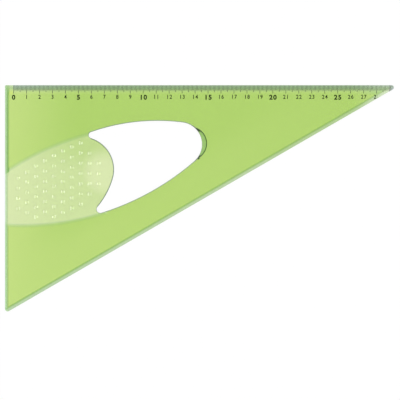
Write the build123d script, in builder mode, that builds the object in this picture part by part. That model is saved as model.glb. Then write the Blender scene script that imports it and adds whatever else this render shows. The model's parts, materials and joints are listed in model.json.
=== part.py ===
from build123d import *
import math
import os

# Drafting triangle of 30, 60 and 90 degrees, lying flat with its scale edge towards +Y.
# Millimetres. The origin is at the middle of the outline's box, on the underside.
# Points in the plan are measured from the sharp right-angle corner: x along the long leg, y away from it.

# Plate
overall_length = 300.0
nose_angle = 30.0
plate_thickness = 2.0
nose_radius = 1.8
foot_radius = 2.0
heel_radius = 0.8

# Stepped ruling edges: a thin sloping ledge and a wall up to the full thickness
ledge_rim = 0.5
ledge_foot = 0.8
short_leg_ledge = 1.35
hypotenuse_ledge = 2.0
step_wall_run = 1.3

# Bevelled scale edge
scale_rim = 0.6
bevel_width = 7.2

# Hand cut-out: two long arcs that meet at a rounded nose, and a thumb lobe from two arcs
brow_corner = (57.2, -39.7)
nose_corner = (168.2, -36.0)
belly_corner = (63.7, -101.4)
thumb_crown = (83.1, -72.0)
brow_radius = 155.0
belly_radius = 201.7
thumb_upper_radius = 25.4
thumb_lower_radius = 60.0
cutout_nose_radius = 17.0
brow_tip_radius = 2.4
belly_tip_radius = 2.8
belly_web = 25.2
cutout_draft = 20.0
thumb_edge_depth = 0.65
thumb_edge_run = 0.72
crown_overlap = 1.0

# Sunk grip field with softly sloping sides, from the cut-out to the ledge of the short leg
field_level = 1.0
field_wall_run = 2.8
field_brow_end = (66.0, -38.7)
field_brow_start = (0.0, -68.8)
field_belly_end = (76.0, -97.15)
field_belly_start = (0.0, -106.5)
field_reach = (100.0, -50.0)
field_brow_radius = 215.0
field_belly_radius = 201.0

# Fingernail scoop at the nose of the cut-out
scoop_centre = (142.75, -45.0)
scoop_radius = 13.1
scoop_lip = 0.5
scoop_lip_radius = 8.8
catch_depth = 1.0
catch_run = 0.7

# Anti-slip drops in the grip field
dot_diameter = 3.2
dot_height = 0.45
dot_shoulder_diameter = 2.3
dot_shoulder_height = 0.32
dot_crown_diameter = 1.1
dot_sides = 12
dot_first_column = 9.95
dot_column_pitch = 6.9
dot_row_pitch = 7.88
dot_full_columns = 8
dot_short_columns = 2
dot_brow_margin = 9.2
dot_margin_step = 0.8
dot_belly_margin = 3.85

# Printed scale
scale_zero = 6.6
tick_pitch = 1.0
ticks_per_half = 5
ticks_per_centimetre = 10
tick_width = 0.36
tick_edge_margin = 0.1
millimetre_length = 4.0
half_centimetre_length = 5.2
centimetre_length = 6.4
ink_thickness = 0.04

# Worked out from the above
sharp_long_leg = overall_length + nose_radius * (1 / math.tan(math.radians(nose_angle / 2)) - 1)
sharp_short_leg = sharp_long_leg * math.tan(math.radians(nose_angle))
sharp_hypotenuse = math.hypot(sharp_long_leg, sharp_short_leg)
foot_angle = 90.0 - nose_angle
overall_width = sharp_short_leg - foot_radius * (1 / math.tan(math.radians(foot_angle / 2)) - 1)
step_height = plate_thickness - ledge_foot
field_depth = plate_thickness - field_level
field_taper = math.degrees(math.atan2(field_wall_run, field_depth))

heel_corner = Vector(-overall_length / 2, overall_width / 2, 0)
nose_direction = Vector(math.cos(math.radians(nose_angle)), math.sin(math.radians(nose_angle)), 0)
hypotenuse_middle = heel_corner + Vector(sharp_long_leg / 2, -sharp_short_leg / 2, 0)

# The plan plane, and planes square to each edge with x inwards and y upwards
plan = Plane(origin=heel_corner)
long_leg_plane = Plane(origin=heel_corner, x_dir=(0, -1, 0), z_dir=(-1, 0, 0))
short_leg_plane = Plane(origin=heel_corner, x_dir=(1, 0, 0), z_dir=(0, -1, 0))
hypotenuse_plane = Plane(
    origin=hypotenuse_middle,
    x_dir=nose_direction.rotate(Axis.Z, 90),
    z_dir=nose_direction,
)


def arc_centre(start, end, radius, side):
    # Centre of the arc between two points; side is 1 for a centre below the chord and -1 for above
    chord = Vector(end) - Vector(start)
    middle = (Vector(start) + Vector(end)) * 0.5
    rise = math.sqrt(radius**2 - (chord.length / 2) ** 2)
    return middle + chord.normalized().rotate(Axis.Z, -90 * side) * rise


field_brow_centre = arc_centre(field_brow_start, field_brow_end, field_brow_radius, 1)
field_belly_centre = arc_centre(field_belly_start, field_belly_end, field_belly_radius, -1)

# Cut-out, scoop and grip field grow together with the triangle, up to the web along the hypotenuse
belly_centre = arc_centre(belly_corner, nose_corner, belly_radius, -1)
belly_reach = belly_centre.dot(nose_direction.rotate(Axis.Z, -90)) + belly_radius
leaf_scale = (sharp_long_leg * math.sin(math.radians(nose_angle)) - belly_web) / belly_reach

scoop_rim = scoop_radius * leaf_scale
scoop_plane = Plane(
    origin=heel_corner + Vector(scoop_centre) * leaf_scale,
    x_dir=(1, 0, 0),
    z_dir=(0, -1, 0),
)


def field_brow_height(x):
    return field_brow_centre.Y + math.sqrt(field_brow_radius**2 - (x - field_brow_centre.X) ** 2)


def field_belly_height(x):
    return field_belly_centre.Y - math.sqrt(field_belly_radius**2 - (x - field_belly_centre.X) ** 2)


# Floor of the grip field, open at the short leg
field_out = -2 * plate_thickness
with BuildSketch(plan.offset(field_level)) as field_floor:
    with BuildLine():
        RadiusArc((field_out, field_brow_height(field_out)), field_brow_end, field_brow_radius)
        Polyline(field_brow_end, field_reach, field_belly_end)
        RadiusArc(field_belly_end, (field_out, field_belly_height(field_out)), field_belly_radius)
        Line((field_out, field_belly_height(field_out)), (field_out, field_brow_height(field_out)))
    make_face()
    scale(by=leaf_scale)

# Outline of the hand cut-out at the underside
with BuildSketch(plan) as cutout:
    with BuildLine():
        RadiusArc(brow_corner, nose_corner, brow_radius)
        RadiusArc(nose_corner, belly_corner, belly_radius)
        RadiusArc(belly_corner, thumb_crown, -thumb_lower_radius)
        RadiusArc(thumb_crown, brow_corner, -thumb_upper_radius)
    make_face()
    fillet(cutout.vertices().sort_by(Axis.X)[-1], cutout_nose_radius)
    fillet(cutout.vertices().sort_by_distance(brow_corner)[0], brow_tip_radius)
    fillet(cutout.vertices().sort_by_distance(belly_corner)[0], belly_tip_radius)
    scale(by=leaf_scale)

with BuildPart() as triangle_plate:
    with BuildSketch(plan):
        with BuildLine():
            FilletPolyline(
                (0, 0),
                (sharp_long_leg, 0),
                (0, -sharp_short_leg),
                radius=(heel_radius, nose_radius, foot_radius),
                close=True,
            )
        make_face()
    extrude(amount=plate_thickness)

    # Ledges along the short leg and the hypotenuse
    for edge_plane, ledge in ((short_leg_plane, short_leg_ledge), (hypotenuse_plane, hypotenuse_ledge)):
        with BuildSketch(edge_plane):
            with BuildLine():
                Polyline(
                    (-ledge, 2 * ledge_rim - ledge_foot),
                    (ledge, ledge_foot),
                    (ledge + 2 * step_wall_run, ledge_foot + 2 * step_height),
                    (-ledge, ledge_foot + 2 * step_height),
                    close=True,
                )
            make_face()
        extrude(amount=sharp_hypotenuse, both=True, mode=Mode.SUBTRACT)

    # Bevel along the scale edge
    with BuildSketch(long_leg_plane):
        with BuildLine():
            Polyline(
                (-bevel_width, 2 * scale_rim - plate_thickness),
                (2 * bevel_width, 2 * plate_thickness - scale_rim),
                (-bevel_width, 2 * plate_thickness - scale_rim),
                close=True,
            )
        make_face()
    extrude(amount=sharp_hypotenuse, both=True, mode=Mode.SUBTRACT)

    # Grip field, and the hand cut-out with its slanted wall
    extrude(field_floor.sketch, amount=field_depth, taper=-field_taper, mode=Mode.SUBTRACT)
    extrude(cutout.sketch, amount=plate_thickness, taper=-cutout_draft, mode=Mode.SUBTRACT)

    # The edge of the thumb lobe slants further in, along the two arcs that meet at its crown
    crown = heel_corner + Vector(thumb_crown) * leaf_scale
    for arc in cutout.sketch.edges().sort_by_distance(crown)[:2]:
        centre = arc.arc_center
        tip = max((arc @ 0, arc @ 1), key=lambda end: (end - crown).length)
        spoke = (tip - centre).normalized()
        turn = math.copysign(1, spoke.cross(crown - centre).Z)
        with BuildSketch(Plane(origin=centre, x_dir=spoke, z_dir=spoke.cross(Vector(0, 0, 1)))):
            with BuildLine():
                Polyline(
                    (arc.radius - thumb_edge_depth, field_level),
                    (arc.radius - thumb_edge_depth + thumb_edge_run, 0),
                    (arc.radius + thumb_edge_run, 0),
                    (arc.radius + thumb_edge_run, field_level),
                    close=True,
                )
            make_face()
        span = math.degrees(arc.length / arc.radius) + crown_overlap
        revolve(axis=Axis(centre, (0, 0, turn)), revolution_arc=span, mode=Mode.SUBTRACT)

    # Fingernail scoop: a steep catch at its rim, then a ramp down to a thin lip
    with BuildSketch(scoop_plane):
        with BuildLine():
            Polyline(
                (0, scoop_lip),
                (scoop_lip_radius * leaf_scale, scoop_lip),
                (scoop_rim - catch_run, plate_thickness - catch_depth),
                (scoop_rim, plate_thickness),
                (0, plate_thickness),
                close=True,
            )
        make_face()
    revolve(axis=Axis(scoop_plane.origin, (0, 0, 1)), mode=Mode.SUBTRACT)

triangle_plate.part.label = "triangle_plate"


def dot_places():
    places = []
    for column in range(dot_full_columns):
        x = dot_first_column + column * dot_column_pitch
        y = field_brow_height(x) - dot_brow_margin + column * dot_margin_step
        stack = []
        while y > field_belly_height(x) + dot_belly_margin:
            stack.append((x, y))
            y -= dot_row_pitch
        places += stack
    # The last columns stay on the rows of the last full one and lose a drop at each end
    for column in range(1, dot_short_columns + 1):
        places += [(x + column * dot_column_pitch, y) for x, y in stack[column:-column]]
    return [(x * leaf_scale, y * leaf_scale) for x, y in places]


# One drop: a low dome in two slopes, from its foot over a shoulder to a small flat crown
with BuildPart() as drop:
    for height, diameter in (
        (0, dot_diameter),
        (dot_shoulder_height, dot_shoulder_diameter),
        (dot_height, dot_crown_diameter),
    ):
        with BuildSketch(Plane.XY.offset(height)):
            RegularPolygon(diameter / 2, dot_sides)
    loft(ruled=True)

with BuildPart(plan.offset(field_level)) as grip_dots:
    with Locations(*dot_places()):
        add(drop.part)

grip_dots.part.label = "grip_dots"


def tick_places(keep):
    room = overall_length - nose_radius - scale_zero - tick_width
    count = int(room / tick_pitch) + 1
    return [(scale_zero + n * tick_pitch, -tick_edge_margin) for n in range(count) if keep(n)]


def print_ticks(places, length):
    # Ink that follows the plate: what lies between the plate and itself lifted by the ink's thickness
    with BuildPart() as ticks:
        with BuildSketch(plan):
            with Locations(*places):
                Rectangle(tick_width, length, align=(Align.CENTER, Align.MAX))
        extrude(amount=plate_thickness)
        add(triangle_plate.part.moved(Location((0, 0, ink_thickness))), mode=Mode.INTERSECT)
        add(triangle_plate.part, mode=Mode.SUBTRACT)
    return ticks


centimetre_ticks = print_ticks(
    tick_places(lambda n: n % ticks_per_centimetre == 0),
    centimetre_length,
)
centimetre_ticks.part.label = "centimetre_ticks"

half_centimetre_ticks = print_ticks(
    tick_places(lambda n: n % ticks_per_centimetre == ticks_per_half),
    half_centimetre_length,
)
half_centimetre_ticks.part.label = "half_centimetre_ticks"

millimetre_ticks = print_ticks(
    tick_places(lambda n: n % ticks_per_half != 0),
    millimetre_length,
)
millimetre_ticks.part.label = "millimetre_ticks"

os.makedirs("parts", exist_ok=True)
export_step(triangle_plate.part, "parts/triangle_plate.step")
export_step(grip_dots.part, "parts/grip_dots.step")
export_step(millimetre_ticks.part, "parts/millimetre_ticks.step")
export_step(half_centimetre_ticks.part, "parts/half_centimetre_ticks.step")
export_step(centimetre_ticks.part, "parts/centimetre_ticks.step")
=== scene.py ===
import json
import math

import bpy
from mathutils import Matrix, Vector


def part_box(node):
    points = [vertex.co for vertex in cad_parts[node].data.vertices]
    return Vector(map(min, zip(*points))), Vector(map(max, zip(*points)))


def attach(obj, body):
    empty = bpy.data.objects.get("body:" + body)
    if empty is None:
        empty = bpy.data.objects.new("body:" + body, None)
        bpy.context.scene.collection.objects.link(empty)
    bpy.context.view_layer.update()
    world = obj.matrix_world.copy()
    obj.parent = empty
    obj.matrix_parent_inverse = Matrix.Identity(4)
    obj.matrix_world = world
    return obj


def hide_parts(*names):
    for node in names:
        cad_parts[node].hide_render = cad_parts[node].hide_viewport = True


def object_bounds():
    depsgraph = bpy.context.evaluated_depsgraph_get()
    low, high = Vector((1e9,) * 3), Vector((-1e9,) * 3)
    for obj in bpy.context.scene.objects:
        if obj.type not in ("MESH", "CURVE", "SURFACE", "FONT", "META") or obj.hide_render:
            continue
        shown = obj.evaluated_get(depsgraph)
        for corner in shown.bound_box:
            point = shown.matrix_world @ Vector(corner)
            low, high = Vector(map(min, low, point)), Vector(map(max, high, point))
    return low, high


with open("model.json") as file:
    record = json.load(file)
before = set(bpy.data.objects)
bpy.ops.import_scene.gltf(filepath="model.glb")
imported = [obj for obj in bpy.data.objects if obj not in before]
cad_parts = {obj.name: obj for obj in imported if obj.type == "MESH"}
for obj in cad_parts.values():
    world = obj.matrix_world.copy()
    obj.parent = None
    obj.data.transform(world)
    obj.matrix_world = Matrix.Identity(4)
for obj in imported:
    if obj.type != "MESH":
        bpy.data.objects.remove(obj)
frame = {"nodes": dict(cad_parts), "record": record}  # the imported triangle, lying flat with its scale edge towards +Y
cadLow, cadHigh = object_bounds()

mm = 0.001
scene = bpy.context.scene
nodes = frame["nodes"]
hypotenuse = next(mount for mount in frame["record"]["mounts"] if mount["name"] == "hypotenuse_edge")
print("frame loaded:", sorted(nodes))


def activate(obj):
    bpy.ops.object.select_all(action="DESELECT")
    obj.select_set(True)
    bpy.context.view_layer.objects.active = obj


def applyAll(obj):
    activate(obj)
    bpy.ops.object.transform_apply(location=True, rotation=True, scale=True)
    for modifier in list(obj.modifiers):
        bpy.ops.object.modifier_apply(modifier=modifier.name)


def joinPieces(pieces, name):
    activate(pieces[0])
    for piece in pieces:
        piece.select_set(True)
    bpy.ops.object.join()
    joined = bpy.context.object
    joined.name = joined.data.name = name
    return joined


def newNode(tree, kind, **settings):
    node = tree.nodes.new(kind)
    for name, value in settings.items():
        setattr(node, name, value)
    return node


def feed(tree, socket, value):
    # A socket is linked, and a plain value is set
    if hasattr(value, "is_linked"):
        tree.links.new(value, socket)
    else:
        socket.default_value = value


def mathNode(tree, operation, *values, clamp=False):
    node = newNode(tree, "ShaderNodeMath", operation=operation, use_clamp=clamp)
    for socket, value in zip(node.inputs, values):
        feed(tree, socket, value)
    return node.outputs[0]


def mixColour(tree, factor, first, second, blend="MIX"):
    # The colour sockets of a Mix node are reached by number, because its names repeat
    node = newNode(tree, "ShaderNodeMix", data_type="RGBA", blend_type=blend)
    for socket, value in ((node.inputs[0], factor), (node.inputs[6], first), (node.inputs[7], second)):
        feed(tree, socket, value)
    return node.outputs[2]


def rangeOf(tree, value, band, kind="LINEAR"):
    # 0 at the start of the band and 1 at its end, held beyond them
    node = newNode(tree, "ShaderNodeMapRange", interpolation_type=kind)
    tree.links.new(value, node.inputs["Value"])
    node.inputs["From Min"].default_value, node.inputs["From Max"].default_value = band
    return node.outputs[0]


def splitXyz(tree, vector):
    parts = newNode(tree, "ShaderNodeSeparateXYZ")
    tree.links.new(vector, parts.inputs[0])
    return parts.outputs


def flatDistance(tree, point, centre):
    # Distance in the plane of the plate
    flat = newNode(tree, "ShaderNodeVectorMath", operation="MULTIPLY")
    flat.inputs[1].default_value = (1, 1, 0)
    tree.links.new(point, flat.inputs[0])
    away = newNode(tree, "ShaderNodeVectorMath", operation="DISTANCE")
    away.inputs[1].default_value = centre
    tree.links.new(flat.outputs[0], away.inputs[0])
    return away.outputs["Value"]


def beyondEdge(tree, point, edge):
    # How far a point lies outside a straight edge, negative inside it
    outward = newNode(tree, "ShaderNodeVectorMath", operation="DOT_PRODUCT")
    outward.inputs[1].default_value = edge["axis"]
    tree.links.new(point, outward.inputs[0])
    reach = Vector(edge["axis"]).dot(Vector(edge["pos_m"]))
    return mathNode(tree, "SUBTRACT", outward.outputs["Value"], reach)


def newGroup(name, inputs, outputs):
    group = bpy.data.node_groups.new(name, "ShaderNodeTree")
    for side, sockets in (("INPUT", inputs), ("OUTPUT", outputs)):
        for socketName, kind in sockets:
            group.interface.new_socket(socketName, in_out=side, socket_type=kind)
    return group, newNode(group, "NodeGroupInput"), newNode(group, "NodeGroupOutput")


def placeGroup(tree, group, **values):
    node = newNode(tree, "ShaderNodeGroup", node_tree=group)
    for name, value in values.items():
        node.inputs[name].default_value = value
    return node


def fillRamp(ramp, stops, span):
    # A new ramp has its two ends; the stops between them are added
    elements = ramp.color_ramp.elements
    for element, (place, colour) in ((elements[0], stops[0]), (elements[1], stops[-1])):
        element.position = place / span
        element.color = (*colour, 1)
    for place, colour in stops[1:-1]:
        elements.new(place / span).color = (*colour, 1)


# Painted shade: a colour laid into the plastic as its surface leans away from level. It stands in for the
# darkening and dark lines that light shows at sloped faces, walls and edges. Each row gives degrees and a
# colour. The low row is for thin edges and the high row for the rest. In the bands, along an axis or
# outward from a line or a centre, another row takes over or a tint is laid on
slopeShade = {
    "rows": {
        "low": (
            (0, (1, 1, 1)), (5, (1, 1, 1)), (8.5, (0.50, 0.66, 0.58)), (11, (0.455, 0.635, 0.950)),
            (12.5, (0.156, 0.462, 0.124)), (16, (0.775, 0.865, 0.92)), (22, (0.775, 0.865, 0.92)),
            (43, (0.409, 0.593, 0.351)), (52, (0.03, 0.06, 0.05)), (70, (0.10, 0.20, 0.10)),
            (90, (0.30, 0.45, 0.20)),
        ),
        "high": (
            (0, (1, 1, 1)), (12, (1, 1, 1)), (20, (0.775, 0.865, 0.92)), (43, (0.409, 0.593, 0.351)),
            (52, (0.01, 0.02, 0.005)), (60, (0.01, 0.02, 0.005)), (70, (0.35, 0.45, 0.35)),
            (90, (0.30, 0.45, 0.20)),
        ),
        "shortLeg": (
            (0, (0.76, 0.87, 0.76)), (1.5, (0.76, 0.87, 0.76)), (3, (1, 1, 1)), (5, (1, 1, 1)),
            (12.5, (0.22, 0.50, 0.20)), (43, (0.24, 0.46, 0.21)), (90, (0.30, 0.45, 0.20)),
        ),
        "besideField": (
            (0, (0.74, 0.82, 0.82)), (5, (0.74, 0.82, 0.82)), (12.5, (0.45, 0.70, 0.50)),
            (43, (0.66, 0.76, 0.60)), (90, (0.66, 0.76, 0.60)),
        ),
        "nose": (
            (0, (1, 1, 1)), (5, (1, 1, 1)), (8.5, (0.68, 0.83, 0.82)), (11, (0.60, 0.80, 1)),
            (43, (0.55, 0.70, 0.70)), (90, (0.30, 0.42, 0.34)),
        ),
        "scoop": (
            (0, (1, 1, 1)), (4, (1, 1, 1)), (7, (0.30, 0.55, 0.20)), (12, (0.30, 0.55, 0.20)),
            (50, (0.005, 0.03, 0.001)), (60, (0.005, 0.03, 0.001)), (70, (0.10, 0.20, 0.10)),
            (90, (0.30, 0.45, 0.20)),
        ),
        "scoopEnd": (
            (0, (1, 1, 1)), (4, (1, 1, 1)), (7, (0.004, 0.012, 0.002)), (90, (0.004, 0.012, 0.002)),
        ),
    },
    "upright": 90,  # degrees, where a row ends
    "highBand": (1.1 * mm, 1.7 * mm),  # along Z, from the low row to the high one
    # Left of the zero line the painted shade of the bevel is tinted lighter and less blue
    "bareBand": (-143.55 * mm, -144.0 * mm),  # left of the zero line the bevel carries no lines
    "bevelBand": (79.6 * mm, 80.6 * mm),
    "bare": (1.12, 1.08, 0.78, 1),
    # Painted shade on the short leg's step, whose row also darkens a strip of the flat top beside it
    "shortLegBand": (-146.5 * mm, -147 * mm),  # the step of the short leg
    "aboveField": (16 * mm, 20 * mm),
    # Beside the sunk field, a paler row of painted shade takes over
    "besideBand": (-147.6 * mm, -147.8 * mm),
    "fieldMiddle": -0.4 * mm,
    "fieldReach": (20 * mm, 18 * mm),
    # Towards the nose a lighter, greyer row of painted shade takes over, with a darker painted tint at the tip
    "noseBand": (122 * mm, 142 * mm),
    "tipBand": (146 * mm, 147.5 * mm),
    "tip": (0.50, 0.57, 0.72, 1),
    # Painted shade on the hypotenuse ledge, deepening from the middle towards the foot
    "footBand": (80 * mm, -140 * mm),  # from the middle of the hypotenuse to its foot
    "ledgeBand": (-3.5 * mm, -3.2 * mm),
    "foot": (0.86, 0.945, 0.87, 1),
    # The fingernail scoop has a row of painted shade for its middle and a near-black one for its ends
    "scoopCentre": (-7.25 * mm, 42.29 * mm, 0),
    "scoopReach": 13.9 * mm,
    "endBand": (8.3 * mm, 9.6 * mm),
    # A painted dark spot of shade at the lower end of the scoop, which has no form of its own there
    "tailCentre": (-0.9 * mm, 31.1 * mm, 0),  # the dark lower end of the scoop
    "tailReach": (1.45 * mm, 0.65 * mm),
    "tail": (0.02, 0.07, 0.015, 1),
}


def makeSlopeShade():
    look = slopeShade
    group, entry, result = newGroup(
        "slopeShade",
        [("Clear", "NodeSocketColor")],
        [("Colour", "NodeSocketColor")],
    )
    coords = newNode(group, "ShaderNodeTexCoord")
    point = coords.outputs["Object"]
    alongX, alongY, up = splitXyz(group, point)
    facingUp = splitXyz(group, coords.outputs["Normal"])["Z"]
    level = mathNode(group, "MINIMUM", mathNode(group, "ABSOLUTE", facingUp), 1.0)
    lean = mathNode(group, "DIVIDE", mathNode(group, "ARCCOSINE", level), math.radians(look["upright"]))
    rows = {}
    for name, stops in look["rows"].items():
        ramp = newNode(group, "ShaderNodeValToRGB")
        fillRamp(ramp, stops, look["upright"])
        group.links.new(lean, ramp.inputs[0])
        rows[name] = ramp.outputs[0]

    edges = mixColour(group, rangeOf(group, up, look["highBand"]), rows["low"], rows["high"])
    leftOfZero = rangeOf(group, alongX, look["bareBand"])
    bare = mathNode(group, "MULTIPLY", leftOfZero, rangeOf(group, alongY, look["bevelBand"]))
    edges = mixColour(group, bare, edges, look["bare"], "MULTIPLY")

    onShortLeg = rangeOf(group, alongX, look["shortLegBand"])
    above = mathNode(group, "MULTIPLY", onShortLeg, rangeOf(group, alongY, look["aboveField"]))
    edges = mixColour(group, above, edges, rows["shortLeg"])
    fromMiddle = mathNode(group, "ABSOLUTE", mathNode(group, "SUBTRACT", alongY, look["fieldMiddle"]))
    acrossField = rangeOf(group, fromMiddle, look["fieldReach"])
    beside = mathNode(group, "MULTIPLY", rangeOf(group, alongX, look["besideBand"]), acrossField)
    edges = mixColour(group, beside, edges, rows["besideField"])

    nose = mixColour(group, rangeOf(group, alongX, look["tipBand"]), rows["nose"], look["tip"])
    edges = mixColour(group, rangeOf(group, alongX, look["noseBand"]), edges, nose)
    onLedge = rangeOf(group, beyondEdge(group, point, hypotenuse), look["ledgeBand"])
    footward = mathNode(group, "MULTIPLY", rangeOf(group, alongX, look["footBand"]), onLedge)
    edges = mixColour(group, footward, edges, look["foot"], "MULTIPLY")

    fromScoop = mathNode(group, "SUBTRACT", alongY, look["scoopCentre"][1])
    atEnd = rangeOf(group, mathNode(group, "ABSOLUTE", fromScoop), look["endBand"])
    scoop = mixColour(group, atEnd, rows["scoop"], rows["scoopEnd"])
    away = flatDistance(group, point, look["scoopCentre"])
    outside = mathNode(group, "GREATER_THAN", away, look["scoopReach"])
    shade = mixColour(group, outside, scoop, edges)
    # The painted dark spot at the scoop's lower end
    atTail = rangeOf(group, flatDistance(group, point, look["tailCentre"]), look["tailReach"])
    shade = mixColour(group, atTail, shade, look["tail"])
    # The painted shade multiplies the plastic's own colour
    shade = mixColour(group, 1.0, shade, entry.outputs["Clear"], "MULTIPLY")
    group.links.new(shade, result.inputs["Colour"])
    return group


# Slow waves left by the mould and fine scuffs from use
mouldedSkin = {
    "waveDetail": 1.0,
    "scuffDetail": 5.0,
    "scuffFall": 3.0,  # how sharply the scuffs thin out
}


def makeMouldedSkin():
    look = mouldedSkin
    group, entry, result = newGroup(
        "mouldedSkin",
        [
            ("Roughness", "NodeSocketFloat"),
            ("Scuff", "NodeSocketFloat"),
            ("Wave Scale", "NodeSocketFloat"),
            ("Scuff Scale", "NodeSocketFloat"),
        ],
        [("Roughness", "NodeSocketFloat"), ("Height", "NodeSocketFloat")],
    )
    coords = newNode(group, "ShaderNodeTexCoord")
    wave = newNode(group, "ShaderNodeTexNoise")
    scuff = newNode(group, "ShaderNodeTexNoise")
    for noise, scale, detail in ((wave, "Wave Scale", "waveDetail"), (scuff, "Scuff Scale", "scuffDetail")):
        noise.inputs["Detail"].default_value = look[detail]
        group.links.new(coords.outputs["Object"], noise.inputs["Vector"])
        group.links.new(entry.outputs[scale], noise.inputs["Scale"])
    worn = mathNode(group, "POWER", scuff.outputs[0], look["scuffFall"])
    worn = mathNode(group, "MULTIPLY", worn, entry.outputs["Scuff"])
    group.links.new(mathNode(group, "ADD", entry.outputs["Roughness"], worn), result.inputs["Roughness"])
    group.links.new(wave.outputs[0], result.inputs["Height"])
    return group


shadeGroup = makeSlopeShade()
skinGroup = makeMouldedSkin()


def newMaterial(name, shine):
    material = bpy.data.materials.new(name)
    material.use_nodes = True
    shader = material.node_tree.nodes["Principled BSDF"]
    for socket, value in shine.items():
        shader.inputs[socket].default_value = value
    return material, material.node_tree, shader


def addSkin(tree, shader, skin, bump):
    surface = placeGroup(tree, skinGroup, **skin)
    relief = newNode(tree, "ShaderNodeBump")
    for socket, value in bump.items():
        relief.inputs[socket].default_value = value
    tree.links.new(surface.outputs["Roughness"], shader.inputs["Roughness"])
    tree.links.new(surface.outputs["Height"], relief.inputs["Height"])
    tree.links.new(relief.outputs["Normal"], shader.inputs["Normal"])


# Clear lime plastic: its depth of colour is laid on the upper surface by height, deepens away from the
# short leg and lightens at the nose, while a little true absorption and haze keep the walls green
limePlastic = {
    "shine": {"IOR": 1.49, "Transmission Weight": 0.90, "Metallic": 0.0},
    "skin": {"Roughness": 0.03, "Scuff": 0.10, "Wave Scale": 30.0, "Scuff Scale": 700.0},
    "bump": {"Strength": 0.05, "Distance": 0.4 * mm},
    "density": 80.0,
    "through": (0.702, 0.849, 0.231, 1),
    "lightTone": (1.0, 1.0, 1.0, 1),
    "deepTone": (0.62, 0.785, 0.40, 1),  # of the upper surface
    "deepens": (-165 * mm, -85 * mm),  # along X, well inside the plate
    "edgeDeepens": (-150 * mm, 140 * mm),  # along X, beside the hypotenuse
    "edgeFall": 0.4,
    "edgeBand": (-45 * mm, -15 * mm),
    "thumbCentre": (-73.6 * mm, 18.8 * mm, 0),  # the field is lighter here, by the thumb lobe
    "thumbReach": (24 * mm, 8 * mm),
    "browSide": (36 * mm, 22 * mm),  # along Y, down from the upper arc of the field
    "fieldShare": 0.4,  # how much lighter the sunk field is than the plate
    "fieldTop": (1.5 * mm, 1.2 * mm),  # along Z, from the plate down into the field
    "upper": (0.1 * mm, 0.3 * mm),  # along Z, which leaves the underside alone
    "noseLightens": (148 * mm, 118 * mm),  # along X, back from the tip
    "cloudScale": 9.0,
    "cloudDetail": 2.0,
    "cloudMiddle": 0.5,
    "cloudShare": 0.20,
    "heightTones": (  # by height in mm, which is the depth of plastic under an upper surface
        (0.0, (1, 1, 1)), (0.25, (0.936, 0.956, 0.816)), (0.5, (0.868, 0.901, 0.575)),
        (0.6, (0.816, 0.862, 0.492)), (0.8, (0.691, 0.791, 0.354)), (1.0, (0.580, 0.734, 0.258)),
        (1.2, (0.533, 0.710, 0.201)), (1.5, (0.480, 0.685, 0.141)), (1.75, (0.438, 0.661, 0.104)),
        (2.0, (0.400, 0.638, 0.077)),
    ),
    "fullHeight": 2.0,  # in mm, where the tones end
}


def makeLimePlastic():
    look = limePlastic
    material, tree, shader = newMaterial("limePlastic", look["shine"])
    point = newNode(tree, "ShaderNodeTexCoord").outputs["Object"]
    alongX, alongY, up = splitXyz(tree, point)

    inside = rangeOf(tree, alongX, look["deepens"], "SMOOTHSTEP")
    beside = mathNode(tree, "POWER", rangeOf(tree, alongX, look["edgeDeepens"]), look["edgeFall"])
    nearEdge = rangeOf(tree, beyondEdge(tree, point, hypotenuse), look["edgeBand"], "SMOOTHSTEP")
    inside = mathNode(tree, "MULTIPLY", inside, mathNode(tree, "SUBTRACT", 1.0, nearEdge))
    deep = mathNode(tree, "ADD", inside, mathNode(tree, "MULTIPLY", beside, nearEdge))

    fromThumb = flatDistance(tree, point, look["thumbCentre"])
    byThumb = rangeOf(tree, fromThumb, look["thumbReach"], "SMOOTHSTEP")
    byBrow = mathNode(tree, "MULTIPLY", rangeOf(tree, alongY, look["browSide"]), look["fieldShare"])
    inField = rangeOf(tree, up, look["fieldTop"])
    glow = mathNode(tree, "MULTIPLY", mathNode(tree, "MAXIMUM", byThumb, byBrow), inField)
    deep = mathNode(tree, "MULTIPLY", deep, mathNode(tree, "SUBTRACT", 1.0, glow))

    cloud = newNode(tree, "ShaderNodeTexNoise")
    cloud.inputs["Scale"].default_value = look["cloudScale"]
    cloud.inputs["Detail"].default_value = look["cloudDetail"]
    tree.links.new(point, cloud.inputs["Vector"])
    drift = mathNode(tree, "SUBTRACT", cloud.outputs[0], look["cloudMiddle"])
    drift = mathNode(tree, "MULTIPLY", drift, look["cloudShare"])
    deep = mathNode(tree, "ADD", deep, drift, clamp=True)
    behindNose = rangeOf(tree, alongX, look["noseLightens"])
    onTop = mathNode(tree, "MULTIPLY", rangeOf(tree, up, look["upper"]), behindNose)
    deep = mathNode(tree, "MULTIPLY", deep, onTop)
    tone = mixColour(tree, deep, look["lightTone"], look["deepTone"])

    upward = newNode(tree, "ShaderNodeValToRGB")
    fillRamp(upward, look["heightTones"], look["fullHeight"])
    tree.links.new(mathNode(tree, "DIVIDE", up, cadHigh.z), upward.inputs[0])
    # The painted slope shade is laid over the plastic's tone and height colour in the base colour
    shade = placeGroup(tree, shadeGroup)
    tree.links.new(mixColour(tree, 1.0, tone, upward.outputs[0], "MULTIPLY"), shade.inputs["Clear"])
    tree.links.new(shade.outputs["Colour"], shader.inputs["Base Color"])
    addSkin(tree, shader, look["skin"], look["bump"])
    depth = newNode(tree, "ShaderNodeVolumeAbsorption")
    depth.inputs["Color"].default_value = look["through"]
    depth.inputs["Density"].default_value = look["density"]
    tree.links.new(depth.outputs[0], tree.nodes["Material Output"].inputs["Volume"])
    return material


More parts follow.
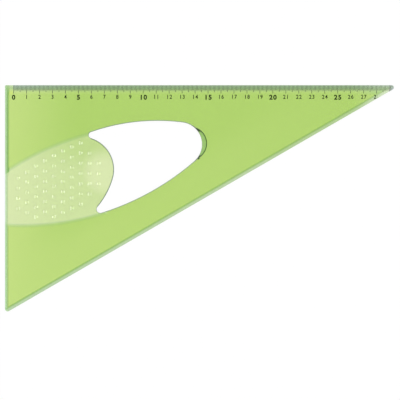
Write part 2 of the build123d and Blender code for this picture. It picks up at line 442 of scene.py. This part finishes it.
clearDrop = {
    "shine": {
        "IOR": 1.45, "Transmission Weight": 1.0, "Metallic": 0.0,
        "Coat Weight": 1.0, "Coat IOR": 2.06, "Coat Roughness": 0.12,
    },
    "skin": {"Roughness": 0.22, "Scuff": 0.10, "Wave Scale": 400.0, "Scuff Scale": 2500.0},
    "bump": {"Strength": 0.05, "Distance": 0.1 * mm},
    "clear": (0.96, 1.0, 0.70, 1),
    # Painted shade: the drop's steep sides take this darker colour
    "rim": (0.80, 0.90, 0.62, 1),
    "rimLean": (0.89, 0.93),  # the upward share of the normal, from the rim to the clear top
}


def makeClearDrop():
    look = clearDrop
    material, tree, shader = newMaterial("clearDrop", look["shine"])
    coords = newNode(tree, "ShaderNodeTexCoord")
    facingUp = mathNode(tree, "ABSOLUTE", splitXyz(tree, coords.outputs["Normal"])["Z"])
    onTop = rangeOf(tree, facingUp, look["rimLean"])
    # The painted rim shade gives way to the clear colour on the drop's top
    tree.links.new(mixColour(tree, onTop, look["rim"], look["clear"]), shader.inputs["Base Color"])
    addSkin(tree, shader, look["skin"], look["bump"])
    return material


# The lines and the numbers share one ink, which lies denser and duller in the numbers
printInk = {
    "shine": {"IOR": 1.45, "Metallic": 0.0},
    "skin": {"Roughness": 0.45, "Scuff": 0.30, "Wave Scale": 300.0, "Scuff Scale": 4000.0},
    "bump": {"Strength": 0.1, "Distance": 0.02 * mm},
    "dense": (0.006, 0.010, 0.004, 1),
    "thin": (0.022, 0.032, 0.012, 1),
    "blotScale": 1500.0,
}
numberInk = {
    **printInk,
    "shine": {"IOR": 1.45, "Metallic": 0.0, "Specular IOR Level": 0.1},
    "dense": (0.004, 0.012, 0.001, 1),
    "thin": (0.012, 0.032, 0.002, 1),
}


def makeInk(name, look):
    material, tree, shader = newMaterial(name, look["shine"])
    coords = newNode(tree, "ShaderNodeTexCoord")
    blot = newNode(tree, "ShaderNodeTexNoise")
    blot.inputs["Scale"].default_value = look["blotScale"]
    tree.links.new(coords.outputs["Object"], blot.inputs["Vector"])
    colour = mixColour(tree, blot.outputs[0], look["dense"], look["thin"])
    tree.links.new(colour, shader.inputs["Base Color"])
    addSkin(tree, shader, look["skin"], look["bump"])
    return material


limeMaterial = makeLimePlastic()
dropMaterial = makeClearDrop()
lineMaterial = makeInk("printInk", printInk)
numberMaterial = makeInk("numberInk", numberInk)
print("materials made")


def dress(obj, material):
    obj.data.materials.clear()
    obj.data.materials.append(material)


plate = nodes["triangle_plate"]
dress(plate, limeMaterial)
for tickName in ("millimetre_ticks", "half_centimetre_ticks", "centimetre_ticks"):
    dress(nodes[tickName], lineMaterial)
print("plate and scale lines dressed")

# One drop is drawn up from a disc in rings that follow a cap, then set down on every place read from the imported drops
gripDrop = {
    "diameter": 3.2 * mm,
    "height": 0.45 * mm,
    "sides": 16,
    "rings": (0.93, 0.78, 0.52, 0.24),  # shares of the radius
    "smoothBelow": 50,  # degrees
    "sunk": 0.02 * mm,
    "crownDepth": 0.01 * mm,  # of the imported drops, to find their tops
}


def dropCentres(node, apart):
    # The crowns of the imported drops, one centre for each
    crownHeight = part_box(node)[1].z - gripDrop["crownDepth"]
    groups = []
    for vertex in nodes[node].data.vertices:
        if vertex.co.z < crownHeight:
            continue
        for group in groups:
            if (group[0] - vertex.co).length < apart:
                group.append(vertex.co)
                break
        else:
            groups.append([vertex.co])
    boxes = [([p.x for p in group], [p.y for p in group]) for group in groups]
    return [((min(xs) + max(xs)) / 2, (min(ys) + max(ys)) / 2) for xs, ys in boxes]


def makeDrop():
    radius, height = gripDrop["diameter"] / 2, gripDrop["height"]
    capRadius = (radius**2 + height**2) / (2 * height)
    bpy.ops.object.select_all(action="DESELECT")
    bpy.ops.mesh.primitive_circle_add(vertices=gripDrop["sides"], radius=radius, fill_type="NGON")
    drop = bpy.context.object
    bpy.ops.object.mode_set(mode="EDIT")
    bpy.ops.mesh.select_all(action="SELECT")
    reached, below = 1.0, 0.0
    for share in gripDrop["rings"]:
        level = math.sqrt(capRadius**2 - (share * radius) ** 2) - (capRadius - height)
        bpy.ops.mesh.extrude_region_move(TRANSFORM_OT_translate={"value": (0, 0, level - below)})
        bpy.ops.transform.resize(value=(share / reached, share / reached, 1))
        reached, below = share, level
    bpy.ops.mesh.poke(offset=height - below)  # the crown
    bpy.ops.mesh.select_all(action="SELECT")
    bpy.ops.mesh.normals_make_consistent(inside=False)
    bpy.ops.object.mode_set(mode="OBJECT")
    bpy.ops.object.shade_smooth_by_angle(angle=math.radians(gripDrop["smoothBelow"]))
    return drop


drop = makeDrop()
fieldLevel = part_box("grip_dots")[0].z
drops = []
for x, y in dropCentres("grip_dots", gripDrop["diameter"]):
    copy = drop.copy()
    copy.data = drop.data.copy()
    copy.location = (x, y, fieldLevel - gripDrop["sunk"])
    scene.collection.objects.link(copy)
    drops.append(copy)
bpy.data.objects.remove(drop)
gripDrops = joinPieces(drops, "gripDrops")
applyAll(gripDrops)
dress(gripDrops, dropMaterial)
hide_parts("grip_dots")
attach(gripDrops, "root")
print("drops set:", len(drops))

# Numbers under the scale: every fifth one is larger and bolder
scaleNumbers = {
    "last": 28,
    "bolderEvery": 5,
    "zero": 6.6 * mm,
    "pitch": 10 * mm,
    "belowEdge": 7.4 * mm,
    "plain": {"height": 3.2 * mm, "squeeze": 0.90, "weight": 0.018},
    "bold": {"height": 3.9 * mm, "squeeze": 1.02, "weight": 0.040},
    "spacing": 1.22,
    "shift": 0.05 * mm,
    "curveSteps": 5,
    "merge": 0.004 * mm,
    "cuts": 2,
    "edgeMargin": 0.15 * mm,
    "lastReach": 0.6 * mm,  # how far the last number goes past its line
    "reach": 1.0 * mm,  # how high the numbers start before they are laid down
    "ink": 0.03 * mm,
}


def lineOf(value):
    # Where the scale line of a number stands along X
    return cadLow.x + scaleNumbers["zero"] + scaleNumbers["pitch"] * value


def makeNumber(value):
    style = scaleNumbers["plain" if value % scaleNumbers["bolderEvery"] else "bold"]
    bpy.ops.object.select_all(action="DESELECT")
    bpy.ops.object.text_add()
    text = bpy.context.object.data
    text.body = str(value)
    text.align_x = "CENTER"
    text.offset = style["weight"]
    text.space_character = scaleNumbers["spacing"]
    text.resolution_u = scaleNumbers["curveSteps"]
    bpy.ops.object.convert(target="MESH")
    number = bpy.context.object
    low, high = Vector(number.bound_box[0]), Vector(number.bound_box[6])  # opposite corners
    tall = style["height"] / (high.y - low.y)
    number.scale = (tall * style["squeeze"], tall, 1)
    number.location = (
        lineOf(value) + scaleNumbers["shift"],
        cadHigh.y - scaleNumbers["belowEdge"] - number.scale.y * high.y,
        cadHigh.z + scaleNumbers["reach"],
    )
    applyAll(number)
    bpy.ops.object.mode_set(mode="EDIT")
    bpy.ops.mesh.select_all(action="SELECT")
    bpy.ops.mesh.remove_doubles(threshold=scaleNumbers["merge"])
    bpy.ops.mesh.dissolve_degenerate(threshold=scaleNumbers["merge"])
    bpy.ops.object.mode_set(mode="OBJECT")
    return number


def trimLastNumber(obj):
    # It runs off the slanted edge, and little of its second digit is printed
    activate(obj)
    bpy.ops.object.mode_set(mode="EDIT")
    bpy.ops.mesh.select_all(action="SELECT")
    bpy.ops.mesh.quads_convert_to_tris()
    bpy.ops.mesh.subdivide(number_cuts=scaleNumbers["cuts"])
    outward = Vector(hypotenuse["axis"])
    atEdge = Vector(hypotenuse["pos_m"]) - outward * scaleNumbers["edgeMargin"]
    pastLine = (lineOf(scaleNumbers["last"]) + scaleNumbers["lastReach"], 0, 0)
    for stop, side in ((atEdge, outward), (pastLine, (1, 0, 0))):
        bpy.ops.mesh.select_all(action="SELECT")
        bpy.ops.mesh.bisect(plane_co=stop, plane_no=side, clear_outer=True)
    bpy.ops.object.mode_set(mode="OBJECT")


numbers = [makeNumber(value) for value in range(scaleNumbers["last"] + 1)]
trimLastNumber(numbers[-1])
printedNumbers = joinPieces(numbers, "printedNumbers")
lay = printedNumbers.modifiers.new("lay", "SHRINKWRAP")
lay.target = plate
lay.wrap_method = "PROJECT"
lay.use_project_z = True
lay.use_negative_direction, lay.use_positive_direction = True, False
ink = printedNumbers.modifiers.new("ink", "SOLIDIFY")
ink.thickness = scaleNumbers["ink"]
ink.offset = 1.0  # all of it above the plate
applyAll(printedNumbers)
dress(printedNumbers, numberMaterial)
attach(printedNumbers, "root")
print("numbers printed:", len(numbers))

# Pale studio: the floor shows white to the eye and through the plastic, and keeps a faint shadow
studio = {
    "floorSize": 12.0,
    "floorDrop": 0.4 * mm,
    "floorFinish": {"Base Color": (0.98, 0.98, 0.98, 1), "Roughness": 1.0, "Specular IOR Level": 0.0},
    "glow": 0.92,
    "worldColour": (1, 1, 1, 1),
    "worldLight": 0.5,
    "lamps": (("leftStrip", -40), ("rightStrip", 40)),  # degrees from straight above
    "lampDistance": 1.0,
    "lampSize": (0.39, 1.8),
    "lampPower": 5.5,
    "lens": 300.0,
    "frameWidth": 308.5 * mm,
    "frameCentre": (0.4 * mm, -1.3 * mm),
}


def whiteToEye(tree, share=1.0):
    # A share for rays from the camera, and 1 for those that a glossy or clear surface sends on
    path = newNode(tree, "ShaderNodeLightPath")
    sentOn = mathNode(tree, "MAXIMUM", path.outputs["Is Glossy Ray"], path.outputs["Is Transmission Ray"])
    seen = mathNode(tree, "MULTIPLY", path.outputs["Is Camera Ray"], share)
    return mathNode(tree, "MAXIMUM", seen, sentOn)


def makeFloor():
    bpy.ops.object.select_all(action="DESELECT")
    below = cadLow.z - studio["floorDrop"]
    bpy.ops.mesh.primitive_plane_add(size=studio["floorSize"], location=(0, 0, below))
    floor = bpy.context.object
    floor.name = "floor"
    material, tree, shader = newMaterial("paleFloor", studio["floorFinish"])
    glow = newNode(tree, "ShaderNodeEmission")
    blend = newNode(tree, "ShaderNodeMixShader")
    tree.links.new(whiteToEye(tree, studio["glow"]), blend.inputs[0])
    tree.links.new(shader.outputs[0], blend.inputs[1])
    tree.links.new(glow.outputs[0], blend.inputs[2])
    tree.links.new(blend.outputs[0], tree.nodes["Material Output"].inputs["Surface"])
    floor.data.materials.append(material)


def makeWorld():
    world = bpy.data.worlds.new("studio")
    world.use_nodes = True
    scene.world = world
    tree = world.node_tree
    strength = newNode(tree, "ShaderNodeMapRange")
    strength.inputs["To Min"].default_value = studio["worldLight"]
    tree.links.new(whiteToEye(tree), strength.inputs["Value"])
    background = tree.nodes["Background"]
    background.inputs["Color"].default_value = studio["worldColour"]
    tree.links.new(strength.outputs[0], background.inputs["Strength"])


def makeLamp(name, lean):
    lamp = bpy.data.lights.new(name, "AREA")
    lamp.shape = "RECTANGLE"
    lamp.size, lamp.size_y = studio["lampSize"]
    lamp.energy = studio["lampPower"]
    holder = bpy.data.objects.new(name, lamp)
    angle = math.radians(lean)
    holder.location = Vector((math.sin(angle), 0, math.cos(angle))) * studio["lampDistance"]
    holder.rotation_euler = (0, angle, 0)
    scene.collection.objects.link(holder)


def makeCamera():
    camera = bpy.data.cameras.new("overhead")
    camera.lens = studio["lens"]
    holder = bpy.data.objects.new("overhead", camera)
    height = studio["frameWidth"] * camera.lens / camera.sensor_width
    holder.location = (*studio["frameCentre"], cadHigh.z + height)
    scene.collection.objects.link(holder)
    scene.camera = holder


makeFloor()
makeWorld()
for lampName, lampLean in studio["lamps"]:
    makeLamp(lampName, lampLean)
makeCamera()
scene.view_settings.view_transform = "Standard"
print("studio ready")
